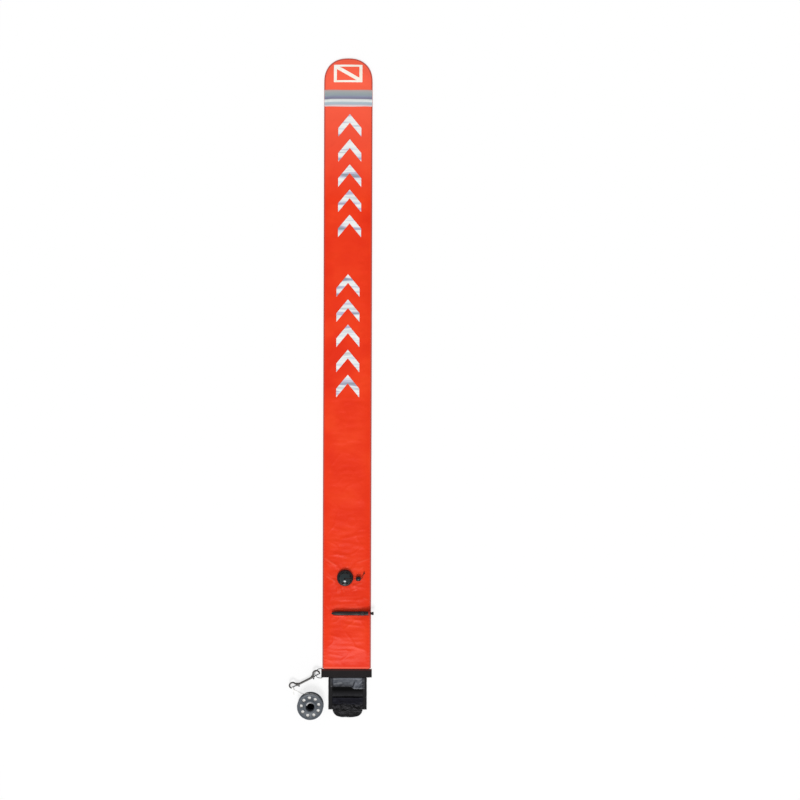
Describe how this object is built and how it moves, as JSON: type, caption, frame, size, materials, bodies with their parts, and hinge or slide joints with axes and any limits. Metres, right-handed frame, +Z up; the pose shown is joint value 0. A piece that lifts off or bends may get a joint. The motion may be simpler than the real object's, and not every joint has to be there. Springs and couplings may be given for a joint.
{
  "type": "dive buoy",
  "caption": "Long orange surface marker buoy laid flat, with reflective marks, dump valve, oral inflator, pouch with mesh pocket, double-ended snap and finger spool of line.",
  "frame": {"origin": "middle of the base band's underside, which lies flat on the surface", "axes": "+Y along the bladder to its rounded top, +X across it, +Z up from the surface"},
  "size_m": [0.2535, 1.9785, 0.0314],
  "materials": {
    "orange_nylon": "coated, satin",
    "silver_film": "reflective film, crinkled",
    "cream_film": "reflective film",
    "valve_black": "moulded, satin gloss",
    "black_rubber": "matte",
    "spring_wire": "drawn wire",
    "black_cord": "braided",
    "inflator_black": "moulded, satin",
    "black_webbing": "woven webbing",
    "ring_steel": "bright stainless",
    "snap_steel": "dark stainless",
    "bolt_steel": "stainless",
    "spool_grey": "moulded, satin",
    "white_line": "braided line",
    "black_cloth": "woven nylon",
    "grey_lining": "coated, slightly shiny",
    "loop_tape": "loop pile",
    "black_net": "knitted mesh"
  },
  "bodies": {
    "buoy": {"front_panel": "orange_nylon", "back_panel": "orange_nylon", "reflective_band": "silver_film", "flag_mark": "cream_film", "chevron_01": "silver_film", "chevron_02": "silver_film", "chevron_03": "silver_film", "chevron_04": "silver_film", "chevron_05": "silver_film", "chevron_06": "silver_film", "chevron_07": "silver_film", "chevron_08": "silver_film", "chevron_09": "silver_film", "chevron_10": "silver_film", "valve_base": "valve_black", "valve_gasket": "black_rubber", "valve_cap": "valve_black", "valve_spring": "spring_wire", "inflator_patch": "orange_nylon", "inflator_tube": "inflator_black", "inflator_barrel": "inflator_black", "inflator_spring": "spring_wire", "retaining_loop": "orange_nylon", "base_band": "black_webbing"},
    "dump_poppet": {"valve_poppet": "valve_black", "poppet_seal": "black_rubber", "pull_cord": "black_cord", "pull_bead": "valve_black", "pull_cord_tail": "black_cord", "pull_cord_knot": "black_cord"},
    "mouthpiece": {"mouthpiece": "inflator_black", "inflator_plunger": "inflator_black", "inflator_seal_ring": "black_rubber"},
    "lock_ring": {"lock_ring": "inflator_black"},
    "d_ring": {"d_ring": "ring_steel"},
    "snap": {"snap_body": "snap_steel", "bolt_spring_upper": "spring_wire", "bolt_spring_lower": "spring_wire", "free_line": "white_line", "tie_loop": "white_line", "line_knot": "white_line", "line_tail": "white_line"},
    "bolt_upper": {"bolt_upper": "bolt_steel", "knob_upper": "bolt_steel"},
    "bolt_lower": {"bolt_lower": "bolt_steel", "knob_lower": "bolt_steel"},
    "spool": {"spool_flange_top": "spool_grey", "spool_flange_bottom": "spool_grey", "spool_hub": "spool_grey", "line_core": "white_line", "line_winding": "white_line"},
    "pouch": {"pouch_panel": "black_cloth", "pouch_lining": "grey_lining", "closure_loop_tape": "loop_tape", "binding_left": "black_cloth", "binding_right": "black_cloth", "mesh_pocket": "black_net"},
    "flap": {"flap_panel": "black_cloth", "closure_hook_tape": "loop_tape"}
  },
  "joints": [
    {"name": "dump_slide", "type": "slide", "parent": "buoy", "child": "dump_poppet", "axis": [0, 0, 1], "range_m": [0, 0.003], "stiffness_N_per_m": 150, "springref_m": -0.002, "deforming": ["valve_spring"]},
    {"name": "mouthpiece_slide", "type": "slide", "parent": "buoy", "child": "mouthpiece", "axis": [-1, 0, 0], "range_m": [0, 0.004], "stiffness_N_per_m": 400, "springref_m": -0.002, "deforming": ["inflator_spring"]},
    {"name": "lock_ring_turn", "type": "hinge", "parent": "buoy", "child": "lock_ring", "pos_m": [0.0475, 0.1825, 0.0191], "axis": [1, 0, 0], "range_deg": [0, 90]},
    {"name": "d_ring_hinge", "type": "hinge", "parent": "buoy", "child": "d_ring", "pos_m": [-0.0731, 0, 0.0029], "axis": [0, 1, 0], "range_deg": [-80, 60]},
    {"name": "snap_swing", "type": "hinge", "parent": "d_ring", "child": "snap", "pos_m": [-0.086, 0, 0.008], "axis": [0, 0, 1], "range_deg": [-30, 6]},
    {"name": "bolt_upper_slide", "type": "slide", "parent": "snap", "child": "bolt_upper", "axis": [-0.891, -0.454, 0], "range_m": [0, 0.01], "stiffness_N_per_m": 250, "springref_m": -0.004, "deforming": ["bolt_spring_upper"]},
    {"name": "bolt_lower_slide", "type": "slide", "parent": "snap", "child": "bolt_lower", "axis": [0.891, 0.454, 0], "range_m": [0, 0.01], "stiffness_N_per_m": 250, "springref_m": -0.004, "deforming": ["bolt_spring_lower"]},
    {"name": "spool_spin", "type": "hinge", "parent": "snap", "child": "spool", "pos_m": [-0.1075, -0.0953, 0], "axis": [0, 0, 1], "continuous": true},
    {"name": "pouch_hinge", "type": "hinge", "parent": "buoy", "child": "pouch", "pos_m": [0, -0.0132, 0.0052], "axis": [-1, 0, 0], "range_deg": [0, 120]},
    {"name": "flap_hinge", "type": "hinge", "parent": "buoy", "child": "flap", "pos_m": [0, -0.0132, 0], "axis": [1, 0, 0], "range_deg": [0, 165]}
  ]
}
